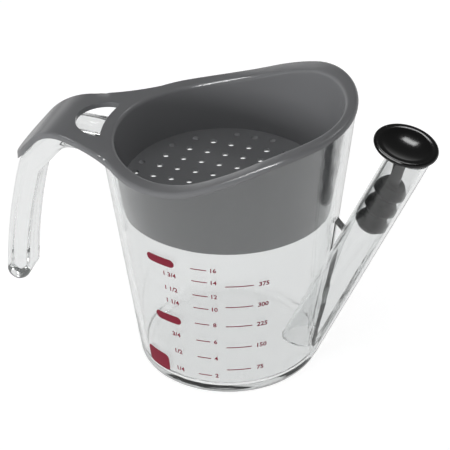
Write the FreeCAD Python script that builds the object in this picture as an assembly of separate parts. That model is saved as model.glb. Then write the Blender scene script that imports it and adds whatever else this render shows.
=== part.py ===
"""Gravy fat separator: a clear measuring cup with a low spout, a grey strainer and a stopper.

Millimetres, +Z up.  The origin is the centre of the cup's base, on the surface it stands on.
+X points to the spout, -X to the handle, and the XZ plane is the plane of symmetry.
"""
import FreeCAD, Part
import math
import os
from FreeCAD import Vector

# ---------------------------------------------------------------- driving dimensions
# Clear cup: a round base that grows into an oval rim
base_radius = 41.5
rim_height_reference = 120.0        # height at which the two half-widths below are measured
rim_half_length = 58.0              # along X, outside of the wall
rim_half_width = 54.4               # along Y, outside of the wall
cup_wall = 2.6
cup_floor = 3.4
base_edge_radius = 3.5
inner_edge_radius = 4.5
hoop_height = 20.0                  # tall oval walls are lofted in hoops of about this height

# Sloped rim, seen from the side
rim_low = 113.4                     # top of the strainer's lip at the handle
rim_climb = 23.6                    # from there to the top of the lip at the spout
rim_level_run = 23.5                # from the handle's end of the lip to where the climb starts
rim_slope_angle = 23.3
rim_low_bend = 98.0                 # radius of the bend at the foot of the climb
rim_high_bend = 66.0                # radius of the bend at its top

# Low slanted spout
spout_foot_inset = 11.0             # from the base's edge to the spout's axis, in the plane of the base
spout_tilt = 25.0                   # from vertical
spout_mouth_height = 121.0          # where its axis meets the mouth, which is cut parallel to the knob
spout_bore_radius = 7.6
spout_wall = 1.8
inlet_height = 9.0                  # gap over the cup's floor that feeds the spout
web_thickness = 5.0
web_top = 81.0                      # at the cup's wall
web_spout_top = 68.0                # at the spout: the web's upper edge slopes down to it

# Hook handle
handle_width = 19.0
handle_thickness = 11.2
handle_edge_radius = 3.8
handle_straight = 14.5              # from the lip's end to where the handle starts to bend down
handle_shoulder_angle = 52.0
handle_shoulder_run = 14.8
handle_knuckle_radius = 15.0
handle_grip_angle = 76.0            # slope at the top of the grip, 90 is vertical
handle_grip_radius = 309.0
handle_root_fillet = 16.0
handle_root_overlap = 1.2           # the fillet runs out inside the cup's wall
handle_tip_height = 19.6            # lowest point of the grip over the table

# Grey strainer
lip_thickness = 2.6
lip_edge_radius = 1.5               # rounding of the upper edge
lip_inner_radius = 2.0              # rounding into the bowl
lip_overhang = 0.4
rim_gap = 0.3                       # between the lip and the cup's rim
skirt_depth = 30.4                  # from the lip's low top down to the skirt's lower edge
bowl_end_clearance_low = 1.9        # to the cup's wall along X, at the skirt's lower edge
bowl_end_clearance_high = 0.7       # the same at the height of the lip's high top
bowl_side_clearance_low = 1.6       # to the cup's wall along Y
bowl_side_clearance_high = 5.0
strainer_wall = 2.0
sieve_rise = 7.1                    # from the skirt's lower edge to the top of the sieve
sieve_thickness = 1.3
sieve_hole_radius = 1.55
sieve_hole_sides = 12
sieve_pitch = 8.64
sieve_shift = 0.7                   # the grid sits a little towards the spout
sieve_margin = 3.2                  # from a hole's centre to the bowl's wall
shield_gap = 0.4                    # over the handle
shield_bend_radius = 23.0
shield_side_margin = 10.1           # past the handle's side, where the handle starts to bend
shield_flare_growth = 8.3           # of the half-width between there and the lip
shield_flare_inset = 3.5            # from the lip's end
shield_root_inset = 17.5
shield_root_overlap = 0.85          # the shield's edge starts this far inside the lip's
shield_root_fillet = 8.0
shield_tip_run = 16.5               # from the handle's bend to the centre of the rounded tip
shield_tip_radius = 13.0
window_margin = 4.8                 # gap beside the handle in the half-round window
window_corner = 1.6

# Stopper
plug_gap = 0.05                     # running clearance of the sealing rings in the bore
plug_core_radius = 5.7
plug_ring_count = 3
plug_ring_pitch = 10.2
plug_ring_height = 7.0
plug_crest_radius = 3.0             # rounding of a ring's crest, seen from the side
plug_depth = 17.3                   # from the spout's mouth down to the plug's top
plug_wall = 1.7
knob_radius = 15.0
knob_tilt = 14.5                    # from vertical: the knob sits nearer to level than the spout
knob_rise = 22.4                    # from the plug's top to the knob's rim
knob_depth = 5.0                    # from the knob's rim to the top of its neck
knob_edge_height = 2.0
knob_edge_round = 1.2
knob_dish_depth = 1.6
knob_rim_width = 3.0
neck_radius = 2.7
neck_straight = 6.2                 # height over the plug where the neck starts to flare
neck_flare_radius = 4.3

# Working sizes: what cuts runs past what it cuts by these amounts
cut_margin = 1.0
foot_round_share = 0.98             # a foot's rounding takes this much of its height, and not all
outline_reach = 130.0
outline_depth = -250.0
blank_depth = 40.0                  # blanks start this far under the lip's low top
blank_extra = 10.0                  # and end this far over its high top


# ---------------------------------------------------------------- shared geometry
def polar(angle):
    """Unit vector in the XZ plane, at an angle in degrees from vertical towards +X."""
    a = math.radians(angle)
    return Vector(math.sin(a), 0, math.cos(a))


def ellipse_wire(half_x, half_y, z):
    """Closed oval of the given half-widths at height z."""
    if half_x >= half_y:
        curve = Part.Ellipse(Vector(half_x, 0, z), Vector(0, half_y, z), Vector(0, 0, z))
    else:
        curve = Part.Ellipse(Vector(0, half_y, z), Vector(-half_x, 0, z), Vector(0, 0, z))
    return Part.Wire([curve.toShape()])


def oval_loft(oval, z_low, z_high, inset):
    """Straight-sided body that follows an oval(z, inset) between two heights."""
    hoops = math.ceil((z_high - z_low) / hoop_height)
    step = (z_high - z_low) / hoops
    wires = [ellipse_wire(*oval(z_low + i * step, inset)) for i in range(hoops + 1)]
    return Part.makeLoft(wires, True, True)


length_taper = (rim_half_length - base_radius) / rim_height_reference
width_taper = (rim_half_width - base_radius) / rim_height_reference
rim_high = rim_low + rim_climb
cup_reach = rim_high + blank_extra
skirt_bottom = rim_low - skirt_depth
sieve_height = skirt_bottom + sieve_rise


def cup_oval(z, inset):
    """Half-widths of the cup at height z, inset from its outside."""
    return (base_radius + length_taper * z - inset, base_radius + width_taper * z - inset, z)


def bowl_oval(z, inset):
    """Half-widths of the strainer's bowl at height z, inset from its outside."""
    share = (z - skirt_bottom) / (rim_high - skirt_bottom)
    end_change = bowl_end_clearance_high - bowl_end_clearance_low
    side_change = bowl_side_clearance_high - bowl_side_clearance_low
    wall_x, wall_y, _ = cup_oval(z, cup_wall)
    half_x = wall_x - bowl_end_clearance_low - share * end_change - inset
    half_y = wall_y - bowl_side_clearance_low - share * side_change - inset
    return (half_x, half_y, z)


lip_half_x, lip_half_y, _ = cup_oval(rim_low, -lip_overhang)
handle_bend_x = -lip_half_x - handle_straight
climb_x = -lip_half_x + rim_level_run


def arc_by_centre(centre, radius, start, end):
    """Arc in the XZ plane; start and end are angles from vertical towards +X."""
    def at(angle):
        return centre + polar(angle) * radius
    return Part.Arc(at(start), at((start + end) / 2), at(end)).toShape()


def line(p, q):
    return Part.LineSegment(p, q).toShape()


def prism_y(edges, half_width):
    """Face of a closed outline in the XZ plane, extruded both ways along Y."""
    face = Part.Face(Part.Wire(Part.sortEdges(edges)[0]))
    face.translate(Vector(0, -half_width, 0))
    return face.extrude(Vector(0, 2 * half_width, 0))


def rim_edges(drop, reach):
    """The lip's side profile, lowered by drop at right angles to its surface.

    From left to right: the shield's slope, its bend, the low run, the climb and the high run.
    """
    a = rim_slope_angle
    low_z = rim_low - drop
    high_z = rim_high - drop
    low_r = rim_low_bend + drop
    high_r = rim_high_bend - drop
    shield_r = shield_bend_radius - drop
    s = handle_shoulder_angle

    shield_centre = Vector(handle_bend_x, 0, low_z - shield_r)
    shoulder = shield_centre + polar(-s) * shield_r
    fall = math.tan(math.radians(s))
    start = Vector(-reach, 0, shoulder.z - fall * (shoulder.x + reach))

    low_centre = Vector(climb_x, 0, low_z + low_r)
    climb_start = low_centre + polar(180 - a) * low_r
    rise = high_z - high_r * (1 - math.cos(math.radians(a))) - climb_start.z
    climb_end = climb_start + Vector(rise / math.tan(math.radians(a)), 0, rise)
    high_centre = climb_end - polar(-a) * high_r

    return [
        line(start, shoulder),
        arc_by_centre(shield_centre, shield_r, -s, 0),
        line(shield_centre + polar(0) * shield_r, low_centre + polar(180) * low_r),
        arc_by_centre(low_centre, low_r, 180, 180 - a),
        line(climb_start, climb_end),
        arc_by_centre(high_centre, high_r, -a, 0),
        line(high_centre + polar(0) * high_r, Vector(reach, 0, high_z)),
    ]


def below_rim(drop, margin=0.0):
    """Everything under the lip's profile lowered by drop."""
    edges = rim_edges(drop, outline_reach + margin)
    left = edges[0].Vertexes[0].Point
    right = edges[-1].Vertexes[-1].Point
    corner_left = Vector(left.x, 0, outline_depth)
    corner_right = Vector(right.x, 0, outline_depth)
    edges.append(line(right, corner_right))
    edges.append(line(corner_right, corner_left))
    edges.append(line(corner_left, left))
    return prism_y(edges, cup_reach + margin)


# ---------------------------------------------------------------- clear cup
spout_axis = polar(spout_tilt)
spout_foot = Vector(base_radius - spout_foot_inset, 0, 0)
spout_length = spout_mouth_height / math.cos(math.radians(spout_tilt))
spout_outer_radius = spout_bore_radius + spout_wall


def slab(z_low, z_high):
    """Wide block between two heights."""
    corner = Vector(-cup_reach, -cup_reach, z_low)
    return Part.makeBox(2 * cup_reach, 2 * cup_reach, z_high - z_low, corner)


def on_spout(distance):
    """Point on the spout's axis, a distance along it from the plane of the base."""
    return spout_foot + spout_axis * distance


def spout_cylinder(radius, start, end):
    return Part.makeCylinder(radius, end - start, on_spout(start), spout_axis)


def above_mouth():
    """Block over the spout's mouth, which is cut parallel to the knob's rim."""
    width = 2 * spout_outer_radius
    return Part.makeCylinder(width, width, on_spout(spout_length), polar(knob_tilt))


def handle_outline():
    """Side outline of the hook: its outer side, its round tip, its inner side and its root."""
    t = handle_thickness
    top = rim_low - lip_thickness - shield_gap
    s = handle_shoulder_angle
    bend_r = shield_bend_radius - lip_thickness - shield_gap

    bend_centre = Vector(handle_bend_x, 0, top - bend_r)
    run = polar(-90 - s) * handle_shoulder_run
    shoulder = bend_centre + polar(-s) * bend_r
    shoulder_end = shoulder + run
    knuckle_centre = shoulder_end - polar(-s) * handle_knuckle_radius
    grip_start = knuckle_centre + polar(-handle_grip_angle) * handle_knuckle_radius
    grip_centre = grip_start - polar(-handle_grip_angle) * handle_grip_radius
    tip_drop = handle_tip_height + t / 2 - grip_centre.z
    end_angle = math.degrees(math.acos(tip_drop / (handle_grip_radius - t / 2)))
    tip_centre = grip_centre + polar(-end_angle) * (handle_grip_radius - t / 2)
    inner_shoulder = shoulder - polar(-s) * t

    wall_z = top - t - handle_root_fillet
    wall_x = -cup_oval(wall_z, 0.0)[0]
    root_centre = Vector(wall_x + handle_root_overlap - handle_root_fillet, 0, wall_z)
    inside_x = wall_x + cup_wall
    underside = Vector(handle_bend_x, 0, top - t)

    return [
        line(Vector(inside_x, 0, top), Vector(handle_bend_x, 0, top)),
        arc_by_centre(bend_centre, bend_r, 0, -s),
        line(shoulder, shoulder_end),
        arc_by_centre(knuckle_centre, handle_knuckle_radius, -s, -handle_grip_angle),
        arc_by_centre(grip_centre, handle_grip_radius, -handle_grip_angle, -end_angle),
        arc_by_centre(tip_centre, t / 2, -end_angle, -end_angle - 180),
        arc_by_centre(grip_centre, handle_grip_radius - t, -end_angle, -handle_grip_angle),
        arc_by_centre(knuckle_centre, handle_knuckle_radius - t, -handle_grip_angle, -s),
        line(inner_shoulder + run, inner_shoulder),
        arc_by_centre(bend_centre, bend_r - t, -s, 0),
        line(underside, Vector(root_centre.x, 0, underside.z)),
        arc_by_centre(root_centre, handle_root_fillet, 0, 90),
        line(Vector(wall_x + handle_root_overlap, 0, wall_z), Vector(inside_x, 0, wall_z)),
        line(Vector(inside_x, 0, wall_z), Vector(inside_x, 0, top)),
    ]


def make_handle():
    """Hook handle with its long edges rounded: one half and its mirror image."""
    side = Part.Face(Part.Wire(Part.sortEdges(handle_outline())[0]))
    half = side.extrude(Vector(0, handle_width / 2, 0))
    root_height = rim_low - lip_thickness - shield_gap - handle_thickness - handle_root_fillet
    root_x = -cup_oval(root_height, 0.0)[0]
    long_edges = []
    for edge in half.Edges:
        centre = edge.CenterOfMass
        if centre.y > handle_width / 2 - 0.01 and centre.x < root_x:
            long_edges.append(edge)
    half = half.makeFillet(handle_edge_radius, long_edges)
    return half.fuse(half.mirror(Vector(0, 0, 0), Vector(0, 1, 0)))


def make_spout_web(cup_outside):
    """Flat rib in the notch between the cup and the spout, with a sloping upper edge."""
    near = spout_foot.x
    wall = cup_oval(web_top, cup_wall / 2)[0]
    far = on_spout(web_spout_top / math.cos(math.radians(spout_tilt))).x
    corners = [
        Vector(near, -web_thickness / 2, cup_floor),
        Vector(far, -web_thickness / 2, web_spout_top),
        Vector(wall, -web_thickness / 2, web_top),
        Vector(near, -web_thickness / 2, web_top),
    ]
    face = Part.Face(Part.makePolygon(corners + corners[:1]))
    rib = face.extrude(Vector(0, web_thickness, 0))
    return rib.cut(cup_outside)


def round_footed(z_low, z_high, inset, edge_radius):
    """The cup's tapered oval over a round foot with a rounded lower edge."""
    foot_top = z_low + edge_radius
    low_x, low_y, _ = cup_oval(z_low, inset)
    top_x, top_y, _ = cup_oval(foot_top, inset)
    foot = Part.makeCone((low_x + low_y) / 2, (top_x + top_y) / 2, edge_radius, Vector(0, 0, z_low))
    lower_edge = [e for e in foot.Edges if e.BoundBox.ZMax < z_low + 0.01]
    foot = foot.makeFillet(foot_round_share * edge_radius, lower_edge)

    def oval(z, wall_inset):
        """The cup's oval, but an exact circle where it meets the foot."""
        half_x, half_y, _ = cup_oval(z, wall_inset)
        if z > foot_top:
            return (half_x, half_y, z)
        return ((half_x + half_y) / 2, (half_x + half_y) / 2, z)

    return foot.fuse(oval_loft(oval, foot_top, z_high, inset))


def make_cup():
    """One clear moulding: tapered cup, slanted spout with its web, and hook handle."""
    outside = round_footed(0.0, cup_reach, 0.0, base_edge_radius)
    cavity = round_footed(cup_floor, cup_reach + cut_margin, cup_wall, inner_edge_radius)

    above_floor = slab(cup_floor, cup_reach + cut_margin)
    start = -spout_outer_radius
    end = spout_length + spout_outer_radius
    tube = spout_cylinder(spout_outer_radius, start, end).common(above_floor).cut(above_mouth())
    bore = spout_cylinder(spout_bore_radius, start, end).common(above_floor)

    # The tube runs on inside the cup as a duct, whose mouth stays clear of the floor.
    duct = tube.common(slab(cup_floor + inlet_height, cup_reach)).common(cavity)
    open_cavity = cavity.cut(duct)

    cup = outside.common(below_rim(lip_thickness + rim_gap))
    cup = cup.fuse([tube, make_spout_web(outside), make_handle()])
    return cup.cut(open_cavity).cut(bore).removeSplitter()


# ---------------------------------------------------------------- grey strainer
def shield_points(z):
    """Centre of the rounded tip, then the neck, the flare and the root of the shield's edge."""
    tip = Vector(handle_bend_x - shield_tip_run, 0, z)
    neck = Vector(handle_bend_x, handle_width / 2 + shield_side_margin, z)
    flare = Vector(shield_flare_inset - lip_half_x, neck.y + shield_flare_growth, z)
    root_x = shield_root_inset - lip_half_x
    lip_y = lip_half_y * math.sqrt(1 - (root_x / lip_half_x) ** 2)
    return tip, neck, flare, Vector(root_x, lip_y - shield_root_overlap, z)


def shield_plan(z_low, z_high):
    """Upright block with the shield's plan outline: flared root, straight neck, round tip."""
    tip, neck, flare, root = shield_points(z_low)
    to_neck = neck - tip
    reach = to_neck.Length
    lean = math.atan2(to_neck.y, to_neck.x) + math.acos(shield_tip_radius / reach)
    touch = tip + Vector(math.cos(lean), math.sin(lean), 0) * shield_tip_radius

    def mirrored(p):
        return Vector(p.x, -p.y, p.z)

    edges = [
        Part.Arc(root, flare, neck).toShape(),
        line(neck, touch),
        Part.Arc(touch, tip - Vector(shield_tip_radius, 0, 0), mirrored(touch)).toShape(),
        line(mirrored(touch), mirrored(neck)),
        Part.Arc(mirrored(neck), mirrored(flare), mirrored(root)).toShape(),
        line(mirrored(root), Vector(0, 0, z_low)),
        line(Vector(0, 0, z_low), root),
    ]
    return Part.Face(Part.Wire(edges)).extrude(Vector(0, 0, z_high - z_low))


def shield_window():
    """Half-round window between the lip and the handle's bend, with rounded corners."""
    radius = handle_width / 2 + window_margin
    height = rim_high - skirt_bottom
    disc = Part.makeCylinder(radius, height, Vector(-lip_half_x, 0, skirt_bottom))
    oval_base = Part.Face(ellipse_wire(lip_half_x, lip_half_y, skirt_bottom - cut_margin))
    window = disc.cut(oval_base.extrude(Vector(0, 0, height + 2 * cut_margin)))
    corners = []
    for edge in window.Edges:
        upright = edge.BoundBox.ZLength > height / 2
        if upright and abs(edge.CenterOfMass.y) > radius / 2:
            corners.append(edge)
    return window.makeFillet(window_corner, corners)


def sieve_holes():
    """Square grid of drain holes that fits the bowl's floor; no row lies on the centre line.

    There are dozens, so each is a prism of a few sides and not a cylinder.
    """
    half_x, half_y, _ = bowl_oval(sieve_height, strainer_wall + sieve_margin)
    count = int(half_x / sieve_pitch) + 1
    turns = [2 * math.pi * k / sieve_hole_sides for k in range(sieve_hole_sides + 1)]
    rim = [Vector(math.cos(t), math.sin(t), 0) * sieve_hole_radius for t in turns]
    holes = []
    for i in range(-count, count + 1):
        for j in range(-count, count + 1):
            x = i * sieve_pitch + sieve_shift
            y = (j + 0.5) * sieve_pitch
            if (x / half_x) ** 2 + (y / half_y) ** 2 <= 1.0:
                outline = Part.makePolygon([Vector(x, y, skirt_bottom) + p for p in rim])
                reach = sieve_height + sieve_thickness - skirt_bottom
                holes.append(Part.Face(outline).extrude(Vector(0, 0, reach)))
    return holes


def make_lip(under_top):
    """Sloped lip and heat shield in one plate, rounded where they meet and along the top."""
    blank_low = rim_low - blank_depth
    blank = oval_loft(cup_oval, blank_low, cup_reach, -lip_overhang)
    blank = blank.fuse(shield_plan(blank_low, cup_reach))
    plate = blank.common(under_top).cut(below_rim(lip_thickness, cut_margin))

    _, _, flare, root = shield_points(0)
    inner_corners = []
    for edge in plate.Edges:
        box = edge.BoundBox
        at_root = flare.x < box.XMin and box.XMax < root.x
        if at_root and box.ZLength > lip_thickness / 2:
            inner_corners.append(edge)
    plate = plate.makeFillet(shield_root_fillet, inner_corners)

    upper_outline = []
    for edge in plate.Edges:
        middle = edge.valueAt((edge.FirstParameter + edge.LastParameter) / 2)
        across = edge.Curve.TypeId == "Part::GeomLine" and abs(middle.y) < 0.01
        on_top = under_top.Shells[0].distToShape(Part.Vertex(middle))[0] < 0.01
        if on_top and not across:
            upper_outline.append(edge)
    return plate.makeFillet(lip_edge_radius, upper_outline)


def round_into_bowl(strainer, hollow, under_top):
    """Round the edge where the lip's top turns down into the bowl."""
    inner_edges = []
    for edge in strainer.Edges:
        middle = Part.Vertex(edge.valueAt((edge.FirstParameter + edge.LastParameter) / 2))
        on_top = under_top.Shells[0].distToShape(middle)[0] < 0.01
        if on_top and hollow.Shells[0].distToShape(middle)[0] < 0.01:
            inner_edges.append(edge)
    return strainer.makeFillet(lip_inner_radius, inner_edges)


def make_strainer():
    """One grey moulding: sloped lip, bowl with its sieve, skirt and heat shield."""
    under_top = below_rim(0.0)
    plate = make_lip(under_top)
    bowl = oval_loft(bowl_oval, skirt_bottom, cup_reach, 0.0).common(under_top)
    strainer = plate.fuse(bowl)
    hollow = oval_loft(bowl_oval, skirt_bottom - cut_margin, cup_reach + cut_margin, strainer_wall)
    over_sieve = hollow.common(slab(sieve_height, cup_reach + cut_margin))
    under_sieve = hollow.common(slab(skirt_bottom - cut_margin, sieve_height - sieve_thickness))
    strainer = round_into_bowl(strainer.cut(over_sieve), hollow, under_top)
    strainer = strainer.cut(under_sieve).cut(shield_window())
    return strainer.cut(sieve_holes()).removeSplitter()


# ---------------------------------------------------------------- stopper
plug_length = plug_ring_pitch * (plug_ring_count - 1) + plug_ring_height
plug_start = spout_length - plug_depth - plug_length
plug_top = on_spout(plug_start + plug_length)


def revolve_on(outline, origin, direction):
    """Spin an (r, h) outline of edges round a line through origin."""
    face = Part.Face(Part.Wire(outline))
    solid = face.revolve(Vector(0, 0, 0), Vector(0, 0, 1), 360)
    solid.Placement = FreeCAD.Placement(origin, FreeCAD.Rotation(Vector(0, 0, 1), direction))
    return solid


def rz(r, h):
    return Vector(r, 0, h)


def make_plug():
    """Soft ribbed sleeve: a row of barrel-shaped sealing rings round a hollow core."""
    ring_r = spout_bore_radius - plug_gap
    core_r = plug_core_radius
    half = plug_ring_height / 2
    crest_r = ring_r - plug_crest_radius
    # Each flank is a line from the core that touches the crest's arc.
    reach = math.hypot(core_r - crest_r, half)
    lean = math.atan2(half, core_r - crest_r) - math.acos(plug_crest_radius / reach)
    touch_r = crest_r + plug_crest_radius * math.cos(lean)
    touch_h = plug_crest_radius * math.sin(lean)
    outline = []
    for i in range(plug_ring_count):
        middle = half + i * plug_ring_pitch
        low = rz(core_r, middle - half)
        high = rz(core_r, middle + half)
        low_touch = rz(touch_r, middle - touch_h)
        high_touch = rz(touch_r, middle + touch_h)
        outline.append(line(low, low_touch))
        outline.append(Part.Arc(low_touch, rz(ring_r, middle), high_touch).toShape())
        outline.append(line(high_touch, high))
        if i + 1 < plug_ring_count:
            outline.append(line(high, rz(core_r, middle + plug_ring_pitch - half)))
    core = neck_radius
    outline.append(line(rz(core_r, plug_length), rz(core, plug_length)))
    outline.append(line(rz(core, plug_length), rz(core, plug_wall)))
    outline.append(line(rz(core, plug_wall), rz(0, plug_wall)))
    outline.append(line(rz(0, plug_wall), rz(0, 0)))
    outline.append(line(rz(0, 0), rz(core_r, 0)))
    return revolve_on(outline, on_spout(plug_start), spout_axis)


def make_knob():
    """Hard knob with a dished top, a flared neck, a bend and the pin that fills the sleeve."""
    rim = knob_radius
    turn = rim - knob_edge_round
    dish = rim - knob_rim_width
    edge_low = knob_rise - knob_edge_height
    neck_top = knob_rise - knob_depth
    growth = neck_flare_radius - neck_radius
    flare_middle = rz(neck_radius + growth / 4, (neck_straight + neck_top) / 2)
    outline = [
        line(rz(0, 0), rz(neck_radius, 0)),
        line(rz(neck_radius, 0), rz(neck_radius, neck_straight)),
        Part.Arc(
            rz(neck_radius, neck_straight), flare_middle,
            rz(neck_flare_radius, neck_top)).toShape(),
        line(rz(neck_flare_radius, neck_top), rz(turn, edge_low)),
        Part.Arc(
            rz(turn, edge_low), rz(rim, (edge_low + knob_rise) / 2), rz(turn, knob_rise)).toShape(),
        line(rz(turn, knob_rise), rz(0, knob_rise)),
        line(rz(0, knob_rise), rz(0, 0)),
    ]
    head = revolve_on(outline, plug_top, polar(knob_tilt))
    ball_radius = (dish ** 2 + knob_dish_depth ** 2) / (2 * knob_dish_depth)
    ball_rise = knob_rise - knob_dish_depth + ball_radius
    head = head.cut(Part.makeSphere(ball_radius, plug_top + polar(knob_tilt) * ball_rise))
    bend = Part.makeSphere(neck_radius, plug_top)
    pin = spout_cylinder(neck_radius, plug_start + plug_wall, plug_start + plug_length)
    return head.fuse([bend, pin]).removeSplitter()


# ---------------------------------------------------------------- write the parts
def main():
    os.makedirs("parts", exist_ok=True)
    parts = {
        "cup": make_cup(),
        "strainer": make_strainer(),
        "stopper_knob": make_knob(),
        "stopper_plug": make_plug(),
    }
    for name, shape in parts.items():
        box = shape.BoundBox
        shape.exportStep("parts/" + name + ".step")
        print("%-13s valid=%s solids=%d volume=%.0f  x %.1f..%.1f  y %.1f..%.1f  z %.1f..%.1f" % (
            name, shape.isValid(), len(shape.Solids), shape.Volume,
            box.XMin, box.XMax, box.YMin, box.YMax, box.ZMin, box.ZMax))


main()
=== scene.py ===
import math

import bmesh
import bpy
from mathutils import Matrix, Vector


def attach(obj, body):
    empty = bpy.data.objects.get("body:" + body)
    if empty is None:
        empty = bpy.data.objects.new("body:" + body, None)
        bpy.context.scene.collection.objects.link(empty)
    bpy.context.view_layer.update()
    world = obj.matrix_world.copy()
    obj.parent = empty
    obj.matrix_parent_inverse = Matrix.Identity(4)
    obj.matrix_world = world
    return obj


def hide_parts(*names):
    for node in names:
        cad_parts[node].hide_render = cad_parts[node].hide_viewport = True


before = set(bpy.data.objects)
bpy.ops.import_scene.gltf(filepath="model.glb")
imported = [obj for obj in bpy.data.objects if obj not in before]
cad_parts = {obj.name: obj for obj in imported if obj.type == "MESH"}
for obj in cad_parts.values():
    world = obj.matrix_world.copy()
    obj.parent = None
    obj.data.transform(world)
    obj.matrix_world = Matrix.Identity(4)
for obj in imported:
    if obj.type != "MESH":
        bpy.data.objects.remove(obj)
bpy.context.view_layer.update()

MM = 0.001

# ------------------------------------------------------------------ sizes
# Outside of the clear cup's wall: a round base that grows into an oval
BASE_RADIUS_MM = 41.5
OVAL_HEIGHT_MM = 120.0
OVAL_HALF_LENGTH_MM = 58.0
OVAL_HALF_WIDTH_MM = 54.4

# Ink on the wall.  Angles go round the cup: -90 is the front and 0 the spout.
# The whole cups have no number, because a filled label stands there.
INK_LIFT_MM = 0.06
LINE_THICKNESS_MM = 0.55
CUP_LINE_HEIGHTS_MM = (11.4, 22.0, 32.2, 42.5, 52.0, 59.6, 68.0, 75.2)
CUP_LINE_ANGLES = (-91.0, -82.5)
CUP_NUMERAL_ANGLE = -103.5
CUP_NUMERALS = ("1/4", "1/2", "3/4", "", "1 1/4", "1 1/2", "1 3/4", "")
OUNCE_NUMERAL_ANGLE = -79.5
OUNCE_NUMERALS = ("2", "4", "6", "8", "10", "12", "14", "16")
ML_LINE_HEIGHTS_MM = (15.4, 29.1, 42.0, 53.7, 66.1)
ML_LINE_ANGLES = (-73.5, -58.5)
ML_NUMERAL_ANGLE = -53.0
ML_NUMERALS = ("75", "150", "225", "300", "375")
NUMERAL_SIZE_MM = 3.4
OUNCE_NUMERAL_SIZE_MM = 3.2
NUMERAL_BOLDNESS = 0.03             # how far a stroke grows each way, as a share of the size
NUMERAL_CURVE_STEPS = 3

# Filled labels: (angle, height, length, width, corner radius), the sizes in mm
LABELS = (
    (-108.3, 74.8, 14.8, 4.6, 2.2),
    (-107.8, 41.0, 13.8, 4.6, 2.2),
    (-121.0, 11.8, 14.0, 9.6, 2.4),
)

# Faces along and across a printed strip, enough to bend it round the cup
LINE_COLUMNS = 14
LABEL_COLUMNS = 24
STRIP_ROWS = 4

# Stopper knob.  Its foot is at the plug's top, and its sizes run along and out from its axis.
KNOB_FOOT_MM = (79.61, 0.0, 105.32)
KNOB_TILT = 14.5                    # from upright, towards the spout
PIN_TILT = 25.0
PIN_LENGTH_MM = 25.7
NECK_RADIUS_MM = 2.7
NECK_STRAIGHT_MM = 6.2
NECK_TOP_MM = 17.4
NECK_TOP_RADIUS_MM = 4.3
KNOB_RADIUS_MM = 14.98              # a hair inside the solid's 15, so that it keeps to its box
KNOB_EDGE_LOW_MM = 20.4
KNOB_RIM_MM = 22.4
DISH_RADIUS_MM = 12.0
DISH_DEPTH_MM = 1.6
DISH_ROUNDING_MM = 1.0              # of the edge between the dish and its flat rim
RIM_ROUNDING_MM = 0.95              # of the outer edge, above and below
NECK_ROUNDING_MM = 0.8              # of the corner where the neck meets the disc

# How finely the knob is turned
TURNING_STEPS = 96
ROUNDING_SEGMENTS = 5
DISH_STEPS = 12
NECK_STEPS = 8
PIN_SIDES = 32
SAME_PLACE_MM = 0.001               # points nearer than this are one

# Copies of the CAD nodes: corners this near are joined, and edges that turn more stay sharp
MERGE_MM = 0.002
CREASE_ANGLE = 32.0
KNOB_CREASE_ANGLE = 40.0

# Camera: where it looks, from which side, and its lens
CAMERA_AZIMUTH = 19.42              # from straight in front, towards the spout
CAMERA_ELEVATION = 34.62
CAMERA_ROLL = -1.43
CAMERA_DISTANCE_MM = 1664.0
CAMERA_TARGET_MM = (-1.27, 0.0, 65.95)
CAMERA_LENS_MM = 289.35
CAMERA_SENSOR_MM = 36.0

# Studio walls, white low down and greyer overhead: (white up to, grey from, grey level), where
# a height is the upward part of a direction.  Gloss and clear plastic see different walls.
GLOSS_ROOM = (0.0, 0.40, 0.12)
CLEAR_ROOM = (0.50, 0.95, 0.30)
# Light of the room on matt surfaces, from level directions and from overhead
ROOM_LIGHT_LOW = 0.82
ROOM_LIGHT_HIGH = 0.10
LAMP_AIM = (0.0, 0.0, 0.07)         # the middle of the cup, in metres

# The sheet under the object is white as far as this, and greyer in gloss and plastic beyond
SHEET_WHITE_MM = 320.0
SHEET_GREY_MM = 1300.0
SHEET_FAR_LEVEL = 0.45
SHEET_GLOW = 0.86                   # its own light, which brings it to white
SHEET_IN_GLOSS = 0.50               # share of that light that a reflection shows
FLOOR_HALF_MM = 4000.0
FLOOR_DROP_MM = 0.2                 # a hair below the base, so that the two never coincide


# ------------------------------------------------------------------ helpers
def add_object(name, data):
    """An object for a mesh, a text, a lamp or a camera, put into the scene."""
    thing = bpy.data.objects.new(name, data)
    bpy.context.scene.collection.objects.link(thing)
    return thing


def linear(hex_colour):
    """sRGB hex such as "7A7A7E" as a linear RGBA colour."""
    channels = []
    for start in (0, 2, 4):
        value = int(hex_colour[start:start + 2], 16) / 255
        channels.append(value / 12.92 if value <= 0.04045 else ((value + 0.055) / 1.055) ** 2.4)
    return (*channels, 1.0)


def add_node(tree, kind, settings=None, values=None, links=None):
    """Add a node: settings are its own options, values its socket values, links its inputs."""
    node = tree.nodes.new(kind)
    for name, value in (settings or {}).items():
        setattr(node, name, value)
    for name, value in (values or {}).items():
        node.inputs[name].default_value = value
    for name, socket in (links or {}).items():
        tree.links.new(socket, node.inputs[name])
    return node


def new_material(name):
    """An empty material: (material, its node tree, its output node)."""
    material = bpy.data.materials.new(name)
    material.use_nodes = True
    tree = material.node_tree
    tree.nodes.clear()
    return material, tree, add_node(tree, "ShaderNodeOutputMaterial")


def per_mm(size_mm):
    """Texture scale at which one cell of a pattern is this many millimetres."""
    return 1 / (size_mm * MM)


def grain(tree, cell_mm, depth_mm, detail=2.0):
    """Bump from a noise in object space, cell_mm across and depth_mm deep."""
    place = add_node(tree, "ShaderNodeTexCoord")
    noise = add_node(
        tree, "ShaderNodeTexNoise",
        values={"Scale": per_mm(cell_mm), "Detail": detail},
        links={"Vector": place.outputs["Object"]})
    return add_node(
        tree, "ShaderNodeBump",
        values={"Strength": 1.0, "Distance": depth_mm * MM},
        links={"Height": noise.outputs["Fac"]})


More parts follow.
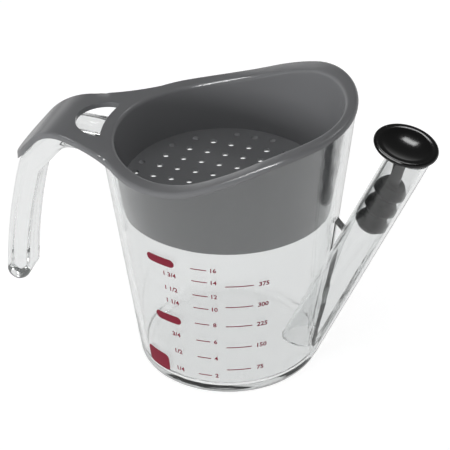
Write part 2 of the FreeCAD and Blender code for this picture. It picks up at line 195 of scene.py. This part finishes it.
# ------------------------------------------------------------------ materials
def clear_san():
    """Styrene acrylonitrile, injection moulded in a polished tool.

    Clear and glossy: each wall takes a little of the light, the long way through takes more.
    """
    material, tree, output = new_material("clear_san_moulding")
    # Long, shallow flow marks, which bend a little what is seen through the wall.
    ripple = grain(tree, cell_mm=22.0, depth_mm=0.05, detail=1.0)
    surface = add_node(
        tree, "ShaderNodeBsdfPrincipled",
        values={
            "Base Color": linear("EEEFEF"),
            "Roughness": 0.02,
            "IOR": 1.57,
            "Transmission Weight": 1.0,
        },
        links={"Normal": ripple.outputs["Normal"]})
    body = add_node(
        tree, "ShaderNodeVolumeAbsorption",
        values={"Color": linear("CFD1D0"), "Density": 12.0})
    tree.links.new(surface.outputs["BSDF"], output.inputs["Surface"])
    tree.links.new(body.outputs["Volume"], output.inputs["Volume"])
    return material


def grey_polypropylene():
    """Polypropylene, injection moulded with a fine spark-eroded texture: a soft satin grey."""
    material, tree, output = new_material("grey_polypropylene_satin")
    # A real grain of about 0.2 mm would be too fine to show, so it is drawn coarser.
    texture = grain(tree, cell_mm=0.9, depth_mm=0.0012)
    surface = add_node(
        tree, "ShaderNodeBsdfPrincipled",
        values={"Base Color": linear("7A7B7D"), "Roughness": 0.20, "IOR": 1.50},
        links={"Normal": texture.outputs["Normal"]})
    tree.links.new(surface.outputs["BSDF"], output.inputs["Surface"])
    return material


def black_abs():
    """ABS, injection moulded in a polished tool: deep glossy black, faintly rippled by shrinking."""
    material, tree, output = new_material("black_abs_gloss")
    shrinkage = grain(tree, cell_mm=7.0, depth_mm=0.02, detail=1.0)
    surface = add_node(
        tree, "ShaderNodeBsdfPrincipled",
        values={"Base Color": linear("060606"), "Roughness": 0.12, "IOR": 1.50},
        links={"Normal": shrinkage.outputs["Normal"]})
    tree.links.new(surface.outputs["BSDF"], output.inputs["Surface"])
    return material


def black_silicone():
    """Moulded silicone rubber: soft black with a broad dull sheen."""
    material, tree, output = new_material("black_silicone_rubber")
    skin = grain(tree, cell_mm=1.2, depth_mm=0.01)
    surface = add_node(
        tree, "ShaderNodeBsdfPrincipled",
        values={
            "Base Color": linear("060607"),
            "Roughness": 0.40,
            "IOR": 1.41,
            "Specular IOR Level": 0.25,
        },
        links={"Normal": skin.outputs["Normal"]})
    tree.links.new(surface.outputs["BSDF"], output.inputs["Surface"])
    return material


def printing_ink():
    """Two-part pad-printing ink, stamped on to the wall: an even dark red film, nearly matt."""
    material, tree, output = new_material("burgundy_printing_ink")
    film = grain(tree, cell_mm=0.5, depth_mm=0.004)
    surface = add_node(
        tree, "ShaderNodeBsdfPrincipled",
        values={"Base Color": linear("84152F"), "Roughness": 0.60, "IOR": 1.45},
        links={"Normal": film.outputs["Normal"]})
    tree.links.new(surface.outputs["BSDF"], output.inputs["Surface"])
    return material


# ------------------------------------------------------------------ pieces from the CAD nodes
def dressed(node, material, body):
    """Make a merged, smoothly shaded copy of a CAD node, which stands for it."""
    mesh = bpy.data.meshes.new(node + "_finished")
    bm = bmesh.new()
    bm.from_mesh(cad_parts[node].data)
    bmesh.ops.remove_doubles(bm, verts=bm.verts, dist=MERGE_MM * MM)
    bmesh.ops.dissolve_degenerate(bm, edges=bm.edges, dist=MERGE_MM * MM)
    bm.to_mesh(mesh)
    bm.free()
    # The node's stored normals would stand in the way of the smooth shading.
    mesh.attributes.remove(mesh.attributes["custom_normal"])
    mesh.materials.append(material)
    mesh.shade_smooth()
    mesh.set_sharp_from_angle(angle=math.radians(CREASE_ANGLE))
    piece = add_object(node + "_finished", mesh)
    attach(piece, body)
    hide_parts(node)


def turned(profile, rounded):
    """Turn (radius, height) points in mm into a solid; rounded says how far a corner is eased."""
    bm = bmesh.new()
    verts = [bm.verts.new((radius, 0, height)) for radius, height in profile]
    for low, high in zip(verts, verts[1:]):
        bm.edges.new((low, high))
    bmesh.ops.spin(
        bm, geom=bm.verts[:] + bm.edges[:], cent=(0, 0, 0), axis=(0, 0, 1),
        angle=2 * math.pi, steps=TURNING_STEPS, use_merge=True)
    bmesh.ops.remove_doubles(bm, verts=bm.verts, dist=SAME_PLACE_MM)
    for (radius, height), size in rounded.items():
        ring = []
        for edge in bm.edges:
            level = all(abs(vert.co.z - height) < SAME_PLACE_MM for vert in edge.verts)
            out = all(abs(vert.co.xy.length - radius) < SAME_PLACE_MM for vert in edge.verts)
            if level and out:
                ring.append(edge)
        bmesh.ops.bevel(
            bm, geom=ring, offset=size, segments=ROUNDING_SEGMENTS, profile=0.5,
            affect="EDGES", material=-1)
    bmesh.ops.recalc_face_normals(bm, faces=bm.faces)
    return bm


def knob_profile():
    """Half section of the knob, from the middle of its dish down to its foot."""
    ball = (DISH_RADIUS_MM ** 2 + DISH_DEPTH_MM ** 2) / (2 * DISH_DEPTH_MM)
    profile = []
    for i in range(DISH_STEPS + 1):
        radius = DISH_RADIUS_MM * i / DISH_STEPS
        sag = ball - math.sqrt(ball ** 2 - radius ** 2)
        profile.append((radius, KNOB_RIM_MM - DISH_DEPTH_MM + sag))
    profile.append((KNOB_RADIUS_MM, KNOB_RIM_MM))
    profile.append((KNOB_RADIUS_MM, KNOB_EDGE_LOW_MM))
    for i in range(NECK_STEPS + 1):
        share = 1 - i / NECK_STEPS
        radius = NECK_RADIUS_MM + (NECK_TOP_RADIUS_MM - NECK_RADIUS_MM) * share ** 2
        profile.append((radius, NECK_STRAIGHT_MM + (NECK_TOP_MM - NECK_STRAIGHT_MM) * share))
    profile.append((NECK_RADIUS_MM, 0))
    profile.append((0, -NECK_RADIUS_MM / 2))
    return profile


def finished_knob(material):
    """Make the stopper's knob as one smooth turning, with its pin: it stands for the node."""
    bm = turned(knob_profile(), {
        (DISH_RADIUS_MM, KNOB_RIM_MM): DISH_ROUNDING_MM,
        (KNOB_RADIUS_MM, KNOB_RIM_MM): RIM_ROUNDING_MM,
        (KNOB_RADIUS_MM, KNOB_EDGE_LOW_MM): RIM_ROUNDING_MM,
        (NECK_TOP_RADIUS_MM, NECK_TOP_MM): NECK_ROUNDING_MM,
    })
    foot = Matrix.Translation(Vector(KNOB_FOOT_MM) * MM)
    lean = foot @ Matrix.Rotation(math.radians(KNOB_TILT), 4, "Y") @ Matrix.Scale(MM, 4)
    bmesh.ops.transform(bm, matrix=lean, verts=bm.verts)
    pin = foot @ Matrix.Rotation(math.radians(PIN_TILT), 4, "Y") @ Matrix.Scale(MM, 4)
    bmesh.ops.create_cone(
        bm, cap_ends=True, segments=PIN_SIDES, radius1=NECK_RADIUS_MM, radius2=NECK_RADIUS_MM,
        depth=PIN_LENGTH_MM, matrix=pin @ Matrix.Translation((0, 0, -PIN_LENGTH_MM / 2)))
    mesh = bpy.data.meshes.new("stopper_knob_finished")
    bm.to_mesh(mesh)
    bm.free()
    mesh.materials.append(material)
    mesh.shade_smooth()
    mesh.set_sharp_from_angle(angle=math.radians(KNOB_CREASE_ANGLE))
    piece = add_object("stopper_knob_finished", mesh)
    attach(piece, "stopper")
    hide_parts("stopper_knob")


# ------------------------------------------------------------------ print on the wall
def wall_radii(height_mm):
    """Half-length and half-width of the cup's outside at a height."""
    share = height_mm / OVAL_HEIGHT_MM
    half_x = BASE_RADIUS_MM + (OVAL_HALF_LENGTH_MM - BASE_RADIUS_MM) * share
    half_y = BASE_RADIUS_MM + (OVAL_HALF_WIDTH_MM - BASE_RADIUS_MM) * share
    return half_x, half_y


def on_wall(angle, height_mm):
    """Point of the ink on the cup's outside, in metres, lifted off it along the level normal."""
    half_x, half_y = wall_radii(height_mm)
    along = math.cos(math.radians(angle))
    across = math.sin(math.radians(angle))
    outwards = Vector((along / half_x, across / half_y, 0)).normalized()
    return (Vector((half_x * along, half_y * across, height_mm)) + outwards * INK_LIFT_MM) * MM


def wrap(bm, angle, height_mm):
    """Lay flat artwork, drawn in millimetres round its own centre, on the wall."""
    half_x, half_y = wall_radii(height_mm)
    radius = (half_x + half_y) / 2
    for vert in bm.verts:
        turn = math.degrees(vert.co.x / radius)
        vert.co = on_wall(angle + turn, height_mm + vert.co.y)


def strip(length_mm, width_mm, corner_mm, columns):
    """Flat strip with round corners, as a grid fine enough to bend round the cup."""
    bm = bmesh.new()
    bmesh.ops.create_grid(bm, x_segments=columns, y_segments=STRIP_ROWS, size=0.5)
    half = length_mm / 2
    for vert in bm.verts:
        # Cosine spacing gives the ends enough columns for their round corners.
        vert.co.x = half * math.sin(math.pi * vert.co.x)
        past = max(0.0, abs(vert.co.x) - (half - corner_mm))
        drop = corner_mm - math.sqrt(max(0.0, corner_mm ** 2 - past ** 2))
        vert.co.y = vert.co.y * (width_mm - 2 * drop)
    return bm


def numeral(text, size_mm):
    """Plain number as a flat mesh in millimetres, centred on its own middle."""
    curve = bpy.data.curves.new("numeral", "FONT")
    curve.body = text
    curve.size = size_mm
    curve.align_x = "CENTER"
    curve.align_y = "CENTER"
    curve.resolution_u = NUMERAL_CURVE_STEPS
    curve.offset = NUMERAL_BOLDNESS * size_mm
    writer = add_object("numeral", curve)
    bpy.context.view_layer.update()
    bm = bmesh.new()
    bm.from_mesh(writer.to_mesh())
    writer.to_mesh_clear()
    bpy.data.objects.remove(writer)
    bmesh.ops.triangulate(bm, faces=bm.faces)
    return bm


def printed(name, artwork, ink):
    """Print one piece from several flat drawings, each (bmesh, angle, height)."""
    whole = bmesh.new()
    for bm, angle, height_mm in artwork:
        wrap(bm, angle, height_mm)
        part = bpy.data.meshes.new("print_part")
        bm.to_mesh(part)
        bm.free()
        whole.from_mesh(part)
        bpy.data.meshes.remove(part)
    mesh = bpy.data.meshes.new(name)
    whole.normal_update()
    whole.to_mesh(mesh)
    whole.free()
    mesh.materials.append(ink)
    mesh.shade_smooth()
    piece = add_object(name, mesh)
    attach(piece, "cup")


def scale_line(angles, height_mm):
    """Artwork of one level line between two angles."""
    middle = (angles[0] + angles[1]) / 2
    radius = sum(wall_radii(height_mm)) / 2
    length = radius * math.radians(abs(angles[1] - angles[0]))
    line = strip(length, LINE_THICKNESS_MM, LINE_THICKNESS_MM / 2, LINE_COLUMNS)
    return line, middle, height_mm


def print_scales(ink):
    """Print both measuring scales and the three filled labels."""
    cups = []
    for height, number, ounces in zip(CUP_LINE_HEIGHTS_MM, CUP_NUMERALS, OUNCE_NUMERALS):
        cups.append(scale_line(CUP_LINE_ANGLES, height))
        cups.append((numeral(ounces, OUNCE_NUMERAL_SIZE_MM), OUNCE_NUMERAL_ANGLE, height))
        if number:
            cups.append((numeral(number, NUMERAL_SIZE_MM), CUP_NUMERAL_ANGLE, height))
    printed("print_cup_scale", cups, ink)

    millilitres = []
    for height, number in zip(ML_LINE_HEIGHTS_MM, ML_NUMERALS):
        millilitres.append(scale_line(ML_LINE_ANGLES, height))
        millilitres.append((numeral(number, NUMERAL_SIZE_MM), ML_NUMERAL_ANGLE, height))
    printed("print_millilitre_scale", millilitres, ink)

    for i, (angle, height, length, width, corner) in enumerate(LABELS):
        label = strip(length, width, corner, LABEL_COLUMNS)
        printed("print_label_%d" % (i + 1), [(label, angle, height)], ink)


# ------------------------------------------------------------------ floor, light, camera
def seen_directly(tree):
    """Two nodes: 1 for rays from the camera, off gloss or through plastic, and the ray's kinds."""
    path = add_node(tree, "ShaderNodeLightPath")
    straight = add_node(
        tree, "ShaderNodeMath", settings={"operation": "MAXIMUM"},
        links={0: path.outputs["Is Camera Ray"], 1: path.outputs["Is Glossy Ray"]})
    seen = add_node(
        tree, "ShaderNodeMath", settings={"operation": "MAXIMUM"},
        links={0: straight.outputs[0], 1: path.outputs["Is Transmission Ray"]})
    return seen, path


def make_world():
    """A white studio, whose soft light comes more from the sides than from overhead."""
    world = bpy.data.worlds.new("white_studio")
    world.use_nodes = True
    tree = world.node_tree
    tree.nodes.clear()
    output = add_node(tree, "ShaderNodeOutputWorld")
    direction = add_node(tree, "ShaderNodeTexCoord")
    split = add_node(
        tree, "ShaderNodeSeparateXYZ", links={"Vector": direction.outputs["Generated"]})
    seen, path = seen_directly(tree)
    rooms = []
    for white_to, grey_from, grey_level in (GLOSS_ROOM, CLEAR_ROOM):
        rooms.append(add_node(
            tree, "ShaderNodeMapRange",
            settings={"interpolation_type": "SMOOTHSTEP"},
            values={
                "From Min": white_to, "From Max": grey_from,
                "To Min": 1.0, "To Max": grey_level,
            },
            links={"Value": split.outputs["Z"]}))
    in_gloss, in_plastic = rooms
    walls = add_node(
        tree, "ShaderNodeMix",
        links={
            "Factor": path.outputs["Is Transmission Ray"],
            "A": in_gloss.outputs["Result"], "B": in_plastic.outputs["Result"],
        })
    level = add_node(
        tree, "ShaderNodeMath", settings={"operation": "MAXIMUM"},
        links={0: walls.outputs["Result"], 1: path.outputs["Is Camera Ray"]})
    white = add_node(
        tree, "ShaderNodeBackground", values={"Color": linear("FFFFFF")},
        links={"Strength": level.outputs[0]})
    room_light = add_node(
        tree, "ShaderNodeMapRange",
        values={
            "From Min": 0.0, "From Max": 1.0,
            "To Min": ROOM_LIGHT_LOW, "To Max": ROOM_LIGHT_HIGH,
        },
        links={"Value": split.outputs["Z"]})
    room = add_node(
        tree, "ShaderNodeBackground", values={"Color": linear("FFFFFF")},
        links={"Strength": room_light.outputs["Result"]})
    mix = add_node(
        tree, "ShaderNodeMixShader",
        links={0: seen.outputs[0], 1: room.outputs[0], 2: white.outputs[0]})
    tree.links.new(mix.outputs[0], output.inputs["Surface"])
    bpy.context.scene.world = world


def white_sheet():
    """White paper sheet, matt: its glow keeps it white, and its paper takes the soft shadow."""
    material, tree, output = new_material("white_table_sheet")
    paper = add_node(
        tree, "ShaderNodeBsdfDiffuse", values={"Color": linear("A0A0A0")})
    place = add_node(tree, "ShaderNodeTexCoord")
    distance = add_node(
        tree, "ShaderNodeVectorMath", settings={"operation": "LENGTH"},
        links={0: place.outputs["Object"]})
    fade = add_node(
        tree, "ShaderNodeMapRange", settings={"interpolation_type": "SMOOTHSTEP"},
        values={
            "From Min": SHEET_WHITE_MM * MM, "From Max": SHEET_GREY_MM * MM,
            "To Min": 1.0, "To Max": SHEET_FAR_LEVEL,
        },
        links={"Value": distance.outputs["Value"]})
    seen, path = seen_directly(tree)
    level = add_node(
        tree, "ShaderNodeMath", settings={"operation": "MAXIMUM"},
        links={0: fade.outputs["Result"], 1: path.outputs["Is Camera Ray"]})
    through = add_node(
        tree, "ShaderNodeMath", settings={"operation": "MAXIMUM"},
        links={0: path.outputs["Is Camera Ray"], 1: path.outputs["Is Transmission Ray"]})
    glow_level = add_node(
        tree, "ShaderNodeMapRange",
        values={"To Min": SHEET_GLOW * SHEET_IN_GLOSS, "To Max": SHEET_GLOW},
        links={"Value": through.outputs[0]})
    strength = add_node(
        tree, "ShaderNodeMath", settings={"operation": "MULTIPLY"},
        links={0: level.outputs[0], 1: glow_level.outputs["Result"]})
    glow = add_node(
        tree, "ShaderNodeEmission", values={"Color": linear("FFFFFF")},
        links={"Strength": strength.outputs[0]})
    both = add_node(
        tree, "ShaderNodeAddShader", links={0: paper.outputs[0], 1: glow.outputs[0]})
    plain = add_node(
        tree, "ShaderNodeBsdfDiffuse", values={"Color": linear("E8E8E8")})
    mix = add_node(
        tree, "ShaderNodeMixShader",
        links={0: seen.outputs[0], 1: plain.outputs[0], 2: both.outputs[0]})
    tree.links.new(mix.outputs[0], output.inputs["Surface"])
    return material


def make_floor():
    """Pale floor: the white sheet, spread flat under the object."""
    mesh = bpy.data.meshes.new("floor")
    bm = bmesh.new()
    bmesh.ops.create_grid(bm, x_segments=1, y_segments=1, size=FLOOR_HALF_MM * MM)
    bm.to_mesh(mesh)
    bm.free()
    mesh.materials.append(white_sheet())
    floor = add_object("floor", mesh)
    floor.location.z = -FLOOR_DROP_MM * MM


def add_softbox(name, place, width, height, watts, matt=True, gloss=True):
    """Area lamp, its place and sizes in metres, aimed at the middle of the cup.

    matt says whether it lights the colour of a surface, gloss whether it shows in shine
    and through clear plastic.
    """
    lamp = bpy.data.lights.new(name, "AREA")
    lamp.shape = "RECTANGLE"
    lamp.size = width
    lamp.size_y = height
    lamp.energy = watts
    softbox = add_object(name, lamp)
    softbox.location = place
    aim = Vector(LAMP_AIM) - Vector(place)
    softbox.rotation_euler = aim.to_track_quat("-Z", "Y").to_euler()
    softbox.visible_diffuse = matt
    softbox.visible_glossy = gloss
    softbox.visible_transmission = gloss


def make_camera():
    """Camera that looks at its target from its azimuth, elevation, distance and roll."""
    azimuth = math.radians(CAMERA_AZIMUTH)
    elevation = math.radians(CAMERA_ELEVATION)
    roll = math.radians(CAMERA_ROLL)
    back = Vector((
        math.sin(azimuth) * math.cos(elevation),
        -math.cos(azimuth) * math.cos(elevation),
        math.sin(elevation)))
    level_right = (-back).cross(Vector((0, 0, 1))).normalized()
    level_up = level_right.cross(-back)
    right = level_right * math.cos(roll) + level_up * math.sin(roll)
    up = level_up * math.cos(roll) - level_right * math.sin(roll)
    place = (Vector(CAMERA_TARGET_MM) + back * CAMERA_DISTANCE_MM) * MM

    lens = bpy.data.cameras.new("camera")
    lens.lens = CAMERA_LENS_MM
    lens.sensor_width = CAMERA_SENSOR_MM
    camera = add_object("camera", lens)
    turn = Matrix((right, up, back)).transposed().to_4x4()
    camera.matrix_world = Matrix.Translation(place) @ turn
    bpy.context.scene.camera = camera


# ------------------------------------------------------------------ put it together
dressed("cup", clear_san(), "cup")
dressed("strainer", grey_polypropylene(), "strainer")
finished_knob(black_abs())
dressed("stopper_plug", black_silicone(), "stopper")
print_scales(printing_ink())

make_world()
make_floor()
# Low and wide in front: it lights the skirt and the print, and shows in no shine.
add_softbox("front_softbox", (-0.9, -1.5, 0.30), width=0.9, height=0.36, watts=13, gloss=False)
# A narrow strip overhead, for thin lines of light along the rounded edges.
add_softbox("overhead_strip", (-0.2, -0.15, 1.35), width=1.6, height=0.09, watts=2.6)
# A brighter strip that shows in shine alone, for the glint along the strainer's lip.
add_softbox("lip_glint", (-0.2, -0.35, 1.3), width=1.6, height=0.22, watts=32, matt=False)
# A small box behind, for the highlight in the knob's dish.
add_softbox("back_softbox", (0.2, 0.9, 1.1), width=0.25, height=0.14, watts=1.0)
make_camera()

scene = bpy.context.scene
scene.view_settings.view_transform = "Standard"
# Light turns many times inside clear plastic, so it gets more bounces than the usual few.
scene.cycles.max_bounces = 32
scene.cycles.glossy_bounces = 24
scene.cycles.transmission_bounces = 24
